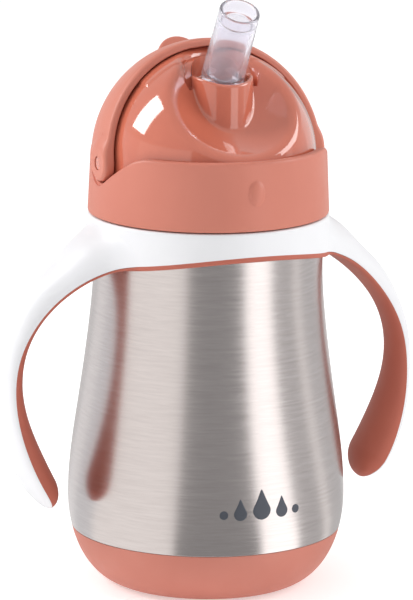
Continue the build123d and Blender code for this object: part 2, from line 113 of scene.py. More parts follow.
# ---- lid ----------------------------------------------------------------------------------------
collar_top_r, collar_in_r, collar_bore_r = 33.7, 31.3, 30.7
lip_r, lip_z = 30.95, dome_foot_z + 1.9
lip_top_z = lip_z + 1.5
mark_z = collar_low_z + 10.7  # middle of the raised oval
flange_r = 31.3
dome_r, dome_t, crown_step = 30.8, 1.8, 0.35
pivot_rise = 7.3
pivot_z = mouth_z + pivot_rise
dome_top_z = pivot_z + dome_r
hollow_r, hollow_reach = 32.4, 51.5
spout_y, spout_r, spout_bore_r = -8.8, 8.85, 7.25
nipple_l, plug_t, plug_r = 9.5, 1.6, 8.6  # the mouthpiece below the spout
spout_low_z, spout_front_z = mouthpiece_low[2] + nipple_l, dome_top_z - 7.7
spout_rise = 1.9  # how much higher the rim is at its sides
saddle_r = (spout_r**2 + spout_rise**2) / (2 * spout_rise)
well_z, well_r = dome_top_z - 9.8, 10.45
stud_r, stud_hole_r = 1.9, 1.98

# ---- cover --------------------------------------------------------------------------------------
cover_out_r, cover_in_r = 33.6, 31.5
arm_r = 5.2
notch_r, notch_slope, notch_flare_r = 5.65, math.radians(31.7), 12.0
front_edge, rear_edge = math.radians(101.7), math.radians(148.3)  # from the front horizontal, over the top

# ---- straw --------------------------------------------------------------------------------------
straw_lean = math.radians(29.5)
straw_bend_z, straw_length = spout_front_z + 0.3, 24.2
straw_low_r, straw_high_r, straw_bore_r = 6.2, 5.75, 4.6
tube_r, nipple_r = 3.9, 5.4


# ---- surfaces -----------------------------------------------------------------------------------
def smooth_step(value, low, high):
    """0 below low, 1 above high, and 3tt - 2ttt between, where t is the share of the way."""
    t = np.clip((value - low) / (high - low), 0, 1)
    return t * t * (3 - 2 * t)


def soft_max(a, b, width):
    """The larger of a and b, with a quadratic rounding where they differ by less than width."""
    share = np.clip(0.5 + 0.5 * (a - b) / width, 0, 1)
    return b + (a - b) * share + width * share * (1 - share)


def spline(x, y, at, clamped=False):
    """The cubic spline through (x, y) read at at. Its ends are level if clamped, else they have no curvature."""
    x, y = np.asarray(x, float), np.asarray(y, float)
    gap = np.diff(x)
    rise = np.diff(y, axis=0) / gap.reshape(-1, *[1] * (y.ndim - 1))
    left, right = np.eye(len(x)), np.zeros_like(y)
    for i in range(1, len(x) - 1):
        left[i, i - 1 : i + 2] = gap[i - 1], 2 * (gap[i - 1] + gap[i]), gap[i]
        right[i] = 6 * (rise[i] - rise[i - 1])
    if clamped:
        left[0, :2], right[0] = (2 * gap[0], gap[0]), 6 * rise[0]
        left[-1, -2:], right[-1] = (gap[-1], 2 * gap[-1]), -6 * rise[-1]
    bend = np.linalg.solve(left, right)
    k = np.clip(np.searchsorted(x, at) - 1, 0, len(gap) - 1)
    a, b = ((x[k + 1] - at) / gap[k]), ((at - x[k]) / gap[k])
    if y.ndim > 1:
        a, b, step = a[:, None], b[:, None], gap[k][:, None]
    else:
        step = gap[k]
    return a * y[k] + b * y[k + 1] + ((a**3 - a) * bend[k] + (b**3 - b) * bend[k + 1]) * step**2 / 6


def rounded(corners, steps=7):
    """Closed outline through (across, up, radius) corners, each rounded by an arc of its radius."""
    points = np.array([c[:2] for c in corners], float)
    outline = []
    for i, corner in enumerate(corners):
        here, back, ahead = points[i], points[i - 1], points[(i + 1) % len(points)]
        a, b = (back - here) / np.linalg.norm(back - here), (ahead - here) / np.linalg.norm(ahead - here)
        half = math.acos(float(a @ b)) / 2
        middle = here + (a + b) / np.linalg.norm(a + b) * corner[2] / math.sin(half)
        start, end = here + a * corner[2] / math.tan(half) - middle, here + b * corner[2] / math.tan(half) - middle
        share, turn = np.linspace(0, 1, steps)[:, None], math.pi - 2 * half
        outline.append(middle + (start * np.sin(turn * (1 - share)) + end * np.sin(turn * share)) / math.sin(turn))
    return np.concatenate(outline)


def refined(outline, step):
    """The closed outline with points added along it, none further than step from the next."""
    loop = np.vstack([outline, outline[:1]])
    run = np.concatenate([[0], np.cumsum(np.linalg.norm(np.diff(loop, axis=0), axis=1))])
    at = np.unique(np.concatenate([run[:-1], np.arange(0, run[-1], step)]).round(4))
    return np.stack([np.interp(at, run, loop[:, 0]), np.interp(at, run, loop[:, 1])], axis=1)


def round_axis(radius, azimuth, height):
    """Points at the given radius, azimuth and height."""
    radius, azimuth, height = np.broadcast_arrays(radius, azimuth, height)
    return np.stack([radius * np.sin(azimuth), -radius * np.cos(azimuth), height], axis=-1)


def azimuths(count):
    """A row of evenly spaced azimuths, once round."""
    return np.linspace(0, 2 * np.pi, count, endpoint=False)[None, :]


def turned(outline, count=240, centre=(0, 0, 0)):
    """The closed outline (radius, height) turned once round the vertical line through centre."""
    return round_axis(outline[:, :1], azimuths(count), outline[:, 1:]) + np.array(centre)


def sheet(points, rows_close=True, columns_close=True, kept=None):
    """A grid of points and its quads: each joins a point, its neighbour along the row and the two in the next row."""
    rows, columns = points.shape[:2]
    number = np.arange(rows * columns).reshape(rows, columns)
    number = np.vstack([number, number[:1]]) if rows_close else number
    number = np.hstack([number, number[:, :1]]) if columns_close else number
    quads = np.stack([number[:-1, :-1], number[:-1, 1:], number[1:, 1:], number[1:, :-1]], axis=-1)
    quads = quads.reshape(-1, 4) if kept is None else quads[kept]
    return points.reshape(-1, 3), quads


def piece(name, sheets, body, slot, finish, *nodes):
    """One object of the given sheets, faces turned outwards, riding on body and standing for nodes."""
    points, quads, count = [], [], 0
    for grid, faces in sheets:
        points.append(grid * MM)
        quads.append(faces + count)
        count += len(grid)
    mesh = bpy.data.meshes.new(name)
    mesh.from_pydata(np.concatenate(points), [], np.concatenate(quads))
    work = bmesh.new()
    work.from_mesh(mesh)
    bmesh.ops.remove_doubles(work, verts=work.verts, dist=0.002 * MM)
    bmesh.ops.recalc_face_normals(work, faces=work.faces)
    work.to_mesh(mesh)
    work.free()
    mesh.shade_smooth()
    mesh.set_sharp_from_angle(angle=math.radians(38))
    made = bpy.data.objects.new(name, mesh)
    bpy.context.scene.collection.objects.link(made)
    made.data.materials.append(finish)
    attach(made, body)
    if nodes:
        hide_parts(*nodes)
    return made


# ---- finishes -----------------------------------------------------------------------------------
def srgb(red, green, blue):
    """Scene-linear colour of a screen colour given in 0-255 steps."""
    c = np.array([red, green, blue]) / 255
    return (*np.where(c <= 0.04045, c / 12.92, ((c + 0.055) / 1.055) ** 2.4), 1.0)


class Finish:
    """A node material under construction: short calls that add a node and return one of its outputs."""

    def __init__(self, name, **sockets):
        self.material = bpy.data.materials.new(name)
        self.material.use_nodes = True
        self.tree = self.material.node_tree
        self.shader = self.tree.nodes["Principled BSDF"]
        for socket, value in sockets.items():
            self.shader.inputs[socket.replace("_", " ")].default_value = value

    def node(self, kind, inputs=(), output=0, **settings):
        """A node of that kind; an input is a number, a colour or another node's output."""
        made = self.tree.nodes.new("ShaderNode" + kind)
        for name, value in settings.items():
            setattr(made, name, value)
        for key, value in dict(inputs).items():
            if isinstance(value, bpy.types.NodeSocket):
                self.tree.links.new(value, made.inputs[key])
            else:
                made.inputs[key].default_value = value
        return made.outputs[output]

    def place(self, stretch=(1, 1, 1)):
        """Object coordinates, stretched."""
        return self.node("Mapping", {0: self.node("TexCoord", output=3), 3: stretch})

    def noise(self, place, scale, detail=2.0, rough=0.5):
        """Fractal noise, 0 to 1."""
        return self.node("TexNoise", {0: place, "Scale": scale, "Detail": detail, "Roughness": rough})

    def ranged(self, value, low, high, from_low=0.3, from_high=0.7):
        """value carried from its own range to low-high."""
        return self.node("MapRange", {0: value, 1: from_low, 2: from_high, 3: low, 4: high})

    def mixed(self, share, first, second):
        """Colour between first and second."""
        return self.node("Mix", {0: share, 6: first, 7: second}, output=2, data_type="RGBA")

    def math(self, operation, a, b=0.0):
        """Arithmetic on two numbers."""
        return self.node("Math", {0: a, 1: b}, operation=operation)

    def link(self, value, socket):
        """Feeds a shader socket."""
        self.tree.links.new(value, self.shader.inputs[socket])

    def bump(self, value, depth, strength=0.5):
        """Relief of that depth in metres on the shader's normal."""
        self.link(self.node("Bump", {"Strength": strength, "Distance": depth, "Height": value}), "Normal")


def moulded(name, colour, shade, rough_low, rough_high, grain, depth, **sockets):
    """Moulded plastic or silicone: colour drifting towards shade, uneven polish and a fine grain."""
    made = Finish(name, **sockets)
    drift = made.noise(made.place(), 38.0, 3.0)
    made.link(made.mixed(made.ranged(drift, 0.0, 1.0), colour, shade), "Base Color")
    wear = made.noise(made.place(), 160.0, 4.0, 0.6)
    made.link(made.ranged(wear, rough_low, rough_high), "Roughness")
    made.bump(made.noise(made.place(), grain, 2.0, 0.7), depth)
    return made.material


def brushed_steel():
    """Steel brushed round the axis: fine level scratches, and reflections drawn out upwards."""
    made = Finish("brushed_steel", Metallic=1.0, Anisotropic=0.82)
    x, y, z = (made.node("SeparateXYZ", {0: made.place()}, output=k) for k in range(3))
    turn = made.math("ARCTAN2", x, y)
    round_way = made.node("CombineXYZ", {0: made.math("MULTIPLY", turn, 3.5), 1: made.math("MULTIPLY", z, 1500.0)})
    fine = made.noise(round_way, 1.0, 6.0, 0.7)
    broad_turn, broad_z = made.math("MULTIPLY", turn, 0.7), made.math("MULTIPLY", z, 420.0)
    broad_way = made.node("CombineXYZ", {0: broad_turn, 1: broad_z, 2: 7.0})
    broad = made.noise(broad_way, 1.0, 3.0, 0.5)
    grain = made.math("MULTIPLY", made.ranged(fine, 0.93, 1.07, 0.35, 0.65), made.ranged(broad, 0.98, 1.02))
    tone = made.mixed(made.ranged(grain, 0.0, 1.0, 0.88, 1.12), srgb(206, 198, 197), srgb(222, 215, 214))
    made.link(tone, "Base Color")
    made.link(made.math("MULTIPLY", grain, 0.2), "Roughness")
    made.bump(fine, 0.000005, 0.08)
    made.link(made.node("Tangent", direction_type="RADIAL", axis="Z"), "Tangent")
    return made.material


def plain_metal(name, colour, low, high, stretch=(1, 1, 1)):
    """Drawn or stamped metal: a faint grain in tone and polish."""
    made = Finish(name, Metallic=1.0)
    grain = made.noise(made.place(stretch), 900.0, 4.0, 0.6)
    darker = tuple(0.86 * c for c in colour[:3]) + (1.0,)
    made.link(made.mixed(made.ranged(grain, 0.0, 1.0), colour, darker), "Base Color")
    made.link(made.ranged(grain, low, high), "Roughness")
    return made.material


def clear_silicone():
    """Water-clear silicone with a breath of lavender, faintly uneven polish."""
    made = Finish("clear_silicone", Transmission_Weight=0.88, IOR=1.3, Roughness=0.1, Base_Color=srgb(244, 242, 249))
    made.link(made.ranged(made.noise(made.place(), 220.0, 2.0), 0.08, 0.15), "Roughness")
    made.bump(made.noise(made.place(), 130.0, 1.0), 0.00008, 0.25)
    return made.material


steel_finish = brushed_steel()
boot_finish = moulded("boot_silicone", srgb(197, 121, 104), srgb(192, 115, 98), 0.50, 0.62, 2600.0, 0.00003)
white_finish = moulded("handle_white", srgb(231, 231, 233), srgb(228, 228, 231), 0.36, 0.48, 2400.0, 0.00002)
lining_finish = moulded("grip_soft", srgb(184, 98, 78), srgb(178, 91, 72), 0.55, 0.68, 2800.0, 0.00004)
satin_finish = moulded("collar_satin", srgb(203, 122, 103), srgb(198, 117, 98), 0.40, 0.50, 2600.0, 0.00003)
cover_finish = moulded("cover_satin", srgb(206, 125, 106), srgb(201, 120, 100), 0.36, 0.46, 2600.0, 0.00003)
gloss_finish = moulded("dome_gloss", srgb(204, 112, 88), srgb(199, 106, 82), 0.06, 0.10, 500.0, 0.000006,
                       Coat_Weight=1.0, Coat_Roughness=0.04, Coat_IOR=1.55)
gasket_finish = moulded("gasket_silicone", srgb(226, 226, 222), srgb(216, 216, 210), 0.45, 0.6, 2000.0, 0.00003)
liner_finish = plain_metal("plain_steel", srgb(205, 203, 200), 0.22, 0.34, (1, 1, 6))
glass_finish = moulded("sealing_glass", srgb(70, 74, 80), srgb(58, 62, 68), 0.12, 0.22, 900.0, 0.00001)
getter_finish = plain_metal("getter_alloy", srgb(120, 116, 112), 0.45, 0.65)
print_finish = moulded("printed_slate", srgb(72, 76, 86), srgb(64, 68, 78), 0.45, 0.55, 3000.0, 0.00001)
silicone_finish = clear_silicone()

cad_finishes = {
    "inner_liner": liner_finish,
    "base_plate": liner_finish,
    "vacuum_seal": glass_finish,
    "getter_cup": getter_finish,
    "lid_gasket": gasket_finish,
    "straw_tube": silicone_finish,
    "air_valve": gasket_finish,
}
for node, finish in cad_finishes.items():
    for material_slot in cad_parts[node].material_slots:
        material_slot.material = finish


# ---- flask --------------------------------------------------------------------------------------
def side_radius(z):
    """Radius of the flask's side: a quarter ellipse below the belly, a spline above it, then straight."""
    rise = shoulder_z - belly_z
    knots = belly_z + rise * np.array([0, 0.38, 0.71, 0.92])
    radii = shoulder_r + (body_r - shoulder_r) * np.array([1, 0.59, 0.14, 0])
    foot = foot_r + (body_r - foot_r) * np.sqrt(np.clip(1 - ((belly_z - z) / belly_z) ** 2, 0, 1))
    return np.where(z < belly_z, foot, spline(knots, radii, np.clip(z, belly_z, knots[-1]), clamped=True))


def ridge(azimuth, z, start_z):
    """Height of a one-turn screw ridge, 0 to 1: a band along the line that climbs one pitch from +X."""
    turn = np.mod(azimuth - np.pi / 2, 2 * np.pi) / (2 * np.pi)
    off = np.abs(z - start_z - pitch * turn)
    ends = smooth_step(turn, 0, 0.05) * (1 - smooth_step(turn, 0.95, 1))
    return (1 - smooth_step(off, 0.35 * thread_half_w, 1.3 * thread_half_w)) * ends


def foot_curve(inset, low_z, count):
    """(radius, height) along the foot's quarter ellipse, moved in by inset, from low_z to the boot's edge."""
    z = boot_z - (boot_z - low_z) * (1 - np.linspace(0, 1, count)) ** 2
    return np.stack([side_radius(z) - inset * np.sqrt(np.clip(z / belly_z, 0.05, 1)), z], axis=1)


def make_shell():
    """Steel wall from the boot's edge to the mouth, turned round the axis, with the screw ridge on the neck."""
    edge = 0.25
    z = np.concatenate([[boot_z, boot_z + 0.1, boot_z + edge], np.linspace(boot_z + 1, shoulder_z, 110)])
    droop = edge - np.sqrt(np.clip(edge**2 - (edge - np.clip(z - boot_z, 0, edge)) ** 2, 0, None))
    side = np.stack([side_radius(z) - droop, z], axis=1)
    turn = np.linspace(0, np.pi / 2, 8)[:, None]
    bend = shoulder_z + (neck_seat_z - shoulder_z) * np.sin(turn)
    shoulder = np.hstack([shoulder_r - (shoulder_z - neck_seat_z) * (np.cos(turn) - 1), bend])
    neck_z = np.linspace(neck_seat_z + 0.6, rim_z - 0.3, 48)[:, None]
    neck = np.hstack([0 * neck_z + neck_r, neck_z])
    top = np.array([[neck_r - 0.3, rim_z], [neck_r - steel_t, rim_z], [neck_r - steel_t, neck_seat_z]])
    back_z = np.linspace(shoulder_z - 1, boot_z, 40)
    inside = np.stack([side_radius(back_z) - steel_t, back_z], axis=1)
    outline = np.vstack([side, shoulder, neck, top, inside])
    azimuth = azimuths(300)
    radius = outline[:, :1] + 0 * azimuth
    on_neck = (np.abs(outline[:, :1] - neck_r) < 0.01)
    radius = radius + thread_depth * ridge(azimuth, outline[:, 1:], neck_thread_z) * on_neck
    return sheet(round_axis(radius, azimuth, outline[:, 1:]))


def make_boot():
    """Silicone cup round the foot: the quarter ellipse outside, its own thickness inside, a shallow recess below."""
    outside = foot_curve(0, 0, 48)
    inside = foot_curve(boot_t, boot_t, 24)[::-1]
    lip = np.array([[outside[-1, 0] - 0.12, boot_z + 0.0], [inside[0, 0], boot_z]])
    outside[-3:, 0] -= np.array([0.0, 0.05, 0.3])
    under = np.array([[0, boot_t], [0, foot_recess], [foot_recess_r - foot_recess, foot_recess], [foot_recess_r, 0]])
    return sheet(turned(np.vstack([outside, lip, inside, under])))


def printed(outline_x, outline_z):
    """A printed patch: a closed outline drawn on the flask's front, filled to its middle and 0.05 mm thick."""
    middle_x, middle_z = outline_x.mean(), outline_z.mean()
    rows = []
    proud, sunk = 0.04, -0.1
    rings = ((0, proud), (0.35, proud), (0.7, proud), (0.97, proud), (1, 0.01), (1, sunk), (0.5, sunk), (0, sunk))
    for share, lift in rings:
        across, z = middle_x + share * (outline_x - middle_x), middle_z + share * (outline_z - middle_z)
        rows.append(round_axis(side_radius(z) + lift, across / body_r, z))
    return sheet(np.stack(rows), rows_close=False)


def drop(x, z, height):
    """A water drop's outline: a circle whose upper half narrows to a point as the cube of the way up."""
    turn = np.linspace(0, 2 * np.pi, 72, endpoint=False)
    up = np.clip(np.sin(turn), 0, 1)
    half = 0.36 * height
    return printed(x + half * np.cos(turn) * (1 - 0.55 * up**2), z + half * np.sin(turn) + 0.42 * height * up**3)


def dot(x, z, radius):
    """A round dot."""
    turn = np.linspace(0, 2 * np.pi, 48, endpoint=False)
    return printed(x + radius * np.cos(turn), z + radius * np.sin(turn))


print_z = 29.4
marks = [drop(0, print_z, 7.6)]
for side in (-1, 1):
    marks += [drop(side * 6.4, print_z - 0.7, 5.4), dot(side * 11.2, print_z - 0.9, 1.25)]

piece("steel_shell", [make_shell()], "flask", "brushed_steel", steel_finish, "outer_shell")
piece("silicone_boot", [make_boot()], "flask", "boot_silicone", boot_finish, "base_boot")
piece("printed_drops", marks, "flask", "boot_silicone", print_finish)

# ---- handles ------------------------------------------------------------------------------------
# Stations down one arm: where the two materials meet (x, z), half width, thickness outwards and inwards.
arm_stations = np.array([
    (22.0, neck_seat_z - 4.7, 19.0, 11.6, 1.3),
    (29.0, neck_seat_z - 4.8, 17.5, 11.3, 1.3),
    (35.5, neck_seat_z - 5.5, 13.6, 9.2, 1.3),
    (42.8, neck_seat_z - 9.0, 9.6, 6.2, 1.5),
    (50.0, neck_seat_z - 15.1, 6.8, 5.4, 1.8),
    (56.0, neck_seat_z - 22.7, 5.7, 4.2, 2.2),
    (59.9, neck_seat_z - 31.3, 5.6, 3.3, 3.0),
    (61.2, neck_seat_z - 40.8, 6.2, 2.7, 3.8),
    (60.2, neck_seat_z - 50.8, 7.6, 2.7, 4.9),
    (57.4, neck_seat_z - 60.3, 9.0, 2.8, 5.8),
    (53.4, neck_seat_z - 68.7, 9.6, 2.4, 5.8),
    (49.0, neck_seat_z - 75.4, 8.8, 2.2, 5.2),
])
flow_w = 5.0  # over how much the arms flow into the ring


def edge_rise(y):
    """How much the ring's lower edge has risen at y, seen from the side: a circle's arc."""
    return edge_bend_r - np.sqrt(edge_bend_r**2 - y**2)


def make_arm(side, outward):
    """Half an arm: a bow on each station's parting line, carried along a spline and flowing into the ring."""
    run = np.concatenate([[0], np.cumsum(np.linalg.norm(np.diff(arm_stations[:, :2], axis=0), axis=1))])
    at = run[-1] * (1 - (1 - np.linspace(0, 1, 170)) ** 1.35)
    x, z, half_w, out_t, in_t = spline(run, arm_stations, at).T[:, :, None]
    step_x, step_z = np.gradient(x[:, 0], at)[:, None], np.gradient(z[:, 0], at)[:, None]
    length = np.hypot(step_x, step_z)
    out_x, out_z = -step_z / length, step_x / length
    tip = np.sqrt(np.clip(1 - np.clip((at - run[-1] + 8.0) / 8.0, 0, 1) ** 2, 0, 1))[:, None]
    turn = np.linspace(0, np.pi, 33)[None, :]
    bulge = out_t if outward else -in_t
    squareness = 1 if outward else 0.5 + 0.5 * smooth_step(x, 44, 60)  # the lining keeps its thickness near the ring
    arc_y, arc_lift = half_w * tip * np.cos(turn), bulge * tip * np.clip(np.sin(turn), 0, 1) ** squareness
    flat_y = half_w * tip * np.linspace(-1, 1, 17)[None, 1:-1]
    y = np.hstack([arc_y, flat_y])
    lift = np.hstack([arc_lift, 0 * flat_y])
    near = 1 - smooth_step(x, ring_r, ring_r + 16)
    far_x = x + out_x * lift
    x_bent = far_x - near * (far_x - np.sqrt(np.clip(far_x**2 - y**2, 1, None)))
    radius, azimuth = np.hypot(x_bent, y), np.arctan2(x_bent, -y)
    radius = soft_max(radius, ring_r - 0.06, flow_w)
    clear = 0.15 if outward else 0.0  # the white starts just above the ring's lining
    height = z + out_z * lift + near * (edge_rise(np.clip(radius * np.cos(azimuth), -ring_r, ring_r)) + 0.1 + clear)
    height = -soft_max(-height, -(ring_top_z - 0.02) + 0 * height, 1.2)
    grid = round_axis(radius, azimuth, height) * np.array([side, 1, 1])
    return sheet(grid, rows_close=False)


def make_ring():
    """White ring: an L-shaped section round the axis, its skirt cut by the rising lower edge."""
    outline = refined(rounded([
        (ring_r, 90.0, 0.3), (ring_r, ring_top_z, 0.7), (ring_bore_r, ring_top_z, 0.3),
        (ring_bore_r, ring_seat_z, 0.3), (skirt_bore_r, ring_seat_z, 0.1), (skirt_bore_r, 90.0, 0.3),
    ]), 1.0)
    azimuth = azimuths(360)
    radius = outline[:, :1] + 0 * azimuth
    low = white_edge_z + edge_rise(np.clip(radius * np.cos(azimuth), -ring_r, ring_r))
    return sheet(round_axis(radius, azimuth, np.maximum(outline[:, 1:], low)))


def make_ring_lining():
    """Soft strip under the ring's lower edge, a rounded section that rises with it."""
    outline = rounded([
        (ring_r + 0.02, 0, 0.05), (skirt_bore_r, 0, 0.05),
        (skirt_bore_r, -lining_t, 0.4), (ring_r + 0.02, -lining_t, 0.45),
    ])
    azimuth = azimuths(360)
    radius = outline[:, :1] + 0 * azimuth
    low = white_edge_z + edge_rise(np.clip(radius * np.cos(azimuth), -ring_r, ring_r))
    return sheet(round_axis(radius, azimuth, outline[:, 1:] + low))


piece("handle_frame_moulded", [make_ring(), make_arm(1, True), make_arm(-1, True)], "handles", "handle_white",
      white_finish, "handle_frame")
piece("handle_lining", [make_ring_lining(), make_arm(1, False), make_arm(-1, False)], "handles", "grip_soft",
      lining_finish, "handle_grip")


# ---- lid ----------------------------------------------------------------------------------------
def notch_z(y):
    """Top edge of the collar at y: a circle under the arm's end, a sloping line, an arc of flare_r, then level."""
    y = np.abs(y)
    foot_y, foot_z = notch_r * math.sin(notch_slope), pivot_z - notch_r * math.cos(notch_slope)
    corner_y = foot_y + (collar_top_z - foot_z) / math.tan(notch_slope)
    reach = notch_flare_r * math.tan(notch_slope / 2)
    circle = pivot_z - np.sqrt(np.clip(notch_r**2 - y**2, 0, None))
    line = foot_z + (y - foot_y) * math.tan(notch_slope)
    flare = collar_top_z - notch_flare_r + np.sqrt(np.clip(notch_flare_r**2 - (corner_y + reach - y) ** 2, 0, None))
    bent = np.where(y < corner_y - reach * math.cos(notch_slope), line, flare)
    return np.where(y < foot_y, circle, np.where(y < corner_y + reach, bent, collar_top_z))


def make_collar():
    """Screw collar: a section carried round under the notched top edge, a screw ridge inside, a raised oval."""
    azimuth = azimuths(720)
    edge, inner_edge = 0.75, 0.4
    taper = (collar_top_r - ring_r) / (collar_top_z - collar_low_z)

    def row(radius, height):
        return np.broadcast_to(radius, azimuth.shape), np.broadcast_to(height, azimuth.shape)

    def top(radius):
        return notch_z(radius * np.cos(azimuth))

    rows = [row(collar_bore_r, collar_low_z), row(ring_r - 0.5, collar_low_z)]
    rows.append(row(ring_r - 0.15, collar_low_z + 0.15))
    for share in np.linspace(0, 1, 60):
        low = collar_low_z + 0.5
        z = low + share * (top(collar_top_r) - edge - low)
        r = ring_r + taper * (z - collar_low_z)
        oval = 1 - (r * np.sin(azimuth) / 2.5) ** 2 - ((z - mark_z) / 3.6) ** 2
        proud = 0.95 * np.clip(oval, 0, 1) ** 0.75 * (np.cos(azimuth) > 0)
        rows.append((r + proud, z))
    for turn in np.linspace(0, np.pi / 2, 7)[1:]:
        r = collar_top_r - edge + edge * math.cos(turn)
        rows.append(row(r, top(r) - edge + edge * math.sin(turn)))
    for turn in np.linspace(0, np.pi / 2, 5):
        r = collar_in_r + inner_edge - inner_edge * math.sin(turn)
        rows.append(row(r, top(r) - inner_edge + inner_edge * math.cos(turn)))
    inside = [(collar_in_r, lip_top_z), (lip_r, lip_top_z), (lip_r, lip_z), (flange_r, lip_z),
              (flange_r, dome_foot_z)]
    for r, z in inside:
        rows.append(row(r, np.minimum(z, top(r) - inner_edge)))
    for z in np.linspace(dome_foot_z - 0.05, collar_low_z + 0.4, 26):
        screw = (thread_depth) * ridge(azimuth, z, neck_thread_z - pitch / 2)
        rows.append(row(collar_bore_r - screw, z))
    radius, height = (np.concatenate([r[k] for r in rows]) for k in (0, 1))
    return sheet(round_axis(radius, azimuth, height))


def skin_height(x, y, ball_r, bowl_r, width=2.6):
    """Height above the pivot of the dome's skin over (x, y), found by halving: the skin is where the rounded larger
    of (distance from the pivot - ball_r) and (bowl_r - distance from the hollow's centre) passes zero."""
    hollow_y = -hollow_reach * math.cos(math.pi / 4)
    hollow_z = hollow_reach * math.sin(math.pi / 4)
    low, high = np.zeros_like(x), np.sqrt(np.clip(ball_r**2 - x**2 - y**2, 0, None))
    for _ in range(26):
        middle = (low + high) / 2
        from_ball = np.sqrt(x**2 + y**2 + middle**2) - ball_r
        from_bowl = bowl_r - np.sqrt(x**2 + (y - hollow_y) ** 2 + (middle - hollow_z) ** 2)
        outside = soft_max(from_ball, from_bowl, width) > 0
        low, high = np.where(outside, low, middle), np.where(outside, middle, high)
    return high


def crowned(x, y):
    """The ball's radius over (x, y): a little more on the squared-off crown under the open cover."""
    crown = smooth_step(21.8 - np.abs(x), 0, 0.7) * smooth_step(y + 5, 0, 0.7) * (1 - smooth_step(y, 18.6, 19.3))
    return dome_r + crown_step * crown


def make_dome():
    """Lid dome: rows of points round the spout's axis, from its bore over the rim, down into the well, over the
    hollowed ball to its equator, round the flange and back under the skin to the bore."""
    azimuth = azimuths(330)
    across, ahead = np.sin(azimuth), -np.cos(azimuth)
    nearest = -spout_y * ahead
    beside = np.abs(spout_y * across)

    def at(reach, height):
        x, y = reach * across, spout_y + reach * ahead
        return np.stack(np.broadcast_arrays(x, y, height), axis=-1)

    def rim(reach):
        return spout_front_z + saddle_r - np.sqrt(saddle_r**2 - (reach * across) ** 2)

    def skin(reach, ball=crowned):
        x, y = reach * across, spout_y + reach * ahead
        return pivot_z + skin_height(x, y, ball(x, y), hollow_r)

    rows = []
    rim_r = (spout_r - spout_bore_r) / 2
    middle_r = spout_r - rim_r
    for share in np.linspace(0, 1, 8):
        low = spout_low_z
        rows.append(at(spout_bore_r, low + share * (rim(spout_bore_r) - rim_r - low)))
    for turn in np.linspace(0, np.pi, 11)[1:-1]:
        reach = middle_r - rim_r * math.cos(turn)
        rows.append(at(reach, rim(reach) - rim_r + rim_r * math.sin(turn)))
    fillet, lip = 0.8, 3.5
    floor = np.minimum(well_z, skin(spout_r))
    for share in np.linspace(0, 1, 12):
        high = rim(spout_r) - rim_r
        rows.append(at(spout_r, high + share * (floor + fillet - high)))
    for reach in np.linspace(spout_r, well_r, 12)[1:]:
        rise = fillet - np.sqrt(np.clip(fillet**2 - np.clip(spout_r + fillet - reach, 0, fillet) ** 2, 0, None))
        rows.append(at(reach, np.minimum(well_z, skin(reach)) + rise))
    ball = np.sqrt(dome_r**2 - beside**2)
    start = np.arcsin((well_r - nearest) / ball)
    wall = np.clip(skin(well_r) - well_z, 0, lip)
    for share in np.linspace(0, 1, 96) ** 1.3:
        reach = nearest + ball * np.sin(start + share * (np.pi / 2 - start))
        inward = np.clip(wall - (reach - well_r), 0, None)
        drop_by = wall - np.sqrt(np.clip(wall**2 - inward**2, 0, None))
        rows.append(at(reach, skin(reach) - drop_by))
    equator = rows[-1][..., :2]
    outward = equator / np.linalg.norm(equator, axis=-1, keepdims=True)
    seat_r, seat_top_z = 27.6, dome_foot_z + 2.4
    below = [(dome_r, pivot_z - 1.5), (dome_r, lip_z + 0.1), (flange_r - 0.05, lip_z - 0.1),
             (flange_r - 0.05, dome_foot_z), (seat_r, dome_foot_z), (seat_r, seat_top_z), (dome_r - dome_t, seat_top_z)]
    for r, z in below:
        rows.append(np.concatenate([outward * r, np.full(outward.shape[:-1] + (1,), z)], axis=-1))
    inner_r = dome_r - dome_t
    inner_ball = np.sqrt(inner_r**2 - beside**2)
    start = np.arcsin((spout_r - nearest) / inner_ball)
    for share in np.linspace(1, 0, 40):
        reach = nearest + inner_ball * np.sin(start + share * (np.pi / 2 - start))
        x, y = reach * across, spout_y + reach * ahead
        rows.append(at(reach, pivot_z + skin_height(x, y, inner_r + 0 * x, hollow_r + dome_t)))
    rows.append(at(spout_r, spout_low_z))
    return sheet(np.concatenate(rows))


def make_stud(side):
    """Pivot stud: a round bar along X with a rounded end, from inside the dome's wall into the cover's arm."""
    outline = rounded([(0.001, dome_r - 1.5, 0.0005), (stud_r, dome_r - 1.5, 0.05), (stud_r, stud_x, 0.35),
                       (0.001, stud_x, 0.0005)])
    turn = azimuths(48)
    along = outline[:, 1:] + 0 * turn
    grid = np.stack([side * along, outline[:, :1] * np.sin(turn), pivot_z + outline[:, :1] * np.cos(turn)], axis=-1)
    return sheet(grid)


piece("screw_collar", [make_collar()], "lid", "collar_satin", satin_finish, "lid_collar")
piece("glossy_dome", [make_dome(), make_stud(1), make_stud(-1)], "lid", "dome_gloss", gloss_finish, "lid_dome")


# ---- cover --------------------------------------------------------------------------------------
def cover_outline(ball_r, half_w):
    """(y, z) from the pivot round the cover's side view: a round foot of half_w, a straight front edge out to ball_r,
    the ball's own outline, and a straight rear edge back."""
    def heading(angle):
        return np.stack([-np.cos(angle), np.sin(angle)], axis=-1)

    out = math.sqrt(ball_r**2 - half_w**2)
    lap = math.asin(half_w / ball_r)
    foot = half_w * heading(np.linspace(rear_edge - 1.5 * np.pi, front_edge - np.pi / 2, 40, endpoint=False))
    along = out * np.linspace(0, 1, 60, endpoint=False)[:, None]
    front = half_w * heading(front_edge - np.pi / 2) + along * heading(front_edge)
    top = ball_r * heading(np.linspace(front_edge - lap, rear_edge + lap, 64))
    rear = half_w * heading(rear_edge + np.pi / 2) + (out - along) * heading(rear_edge)
    return np.concatenate([foot, front, top, rear[1:]]), (len(foot) + len(front), len(top))


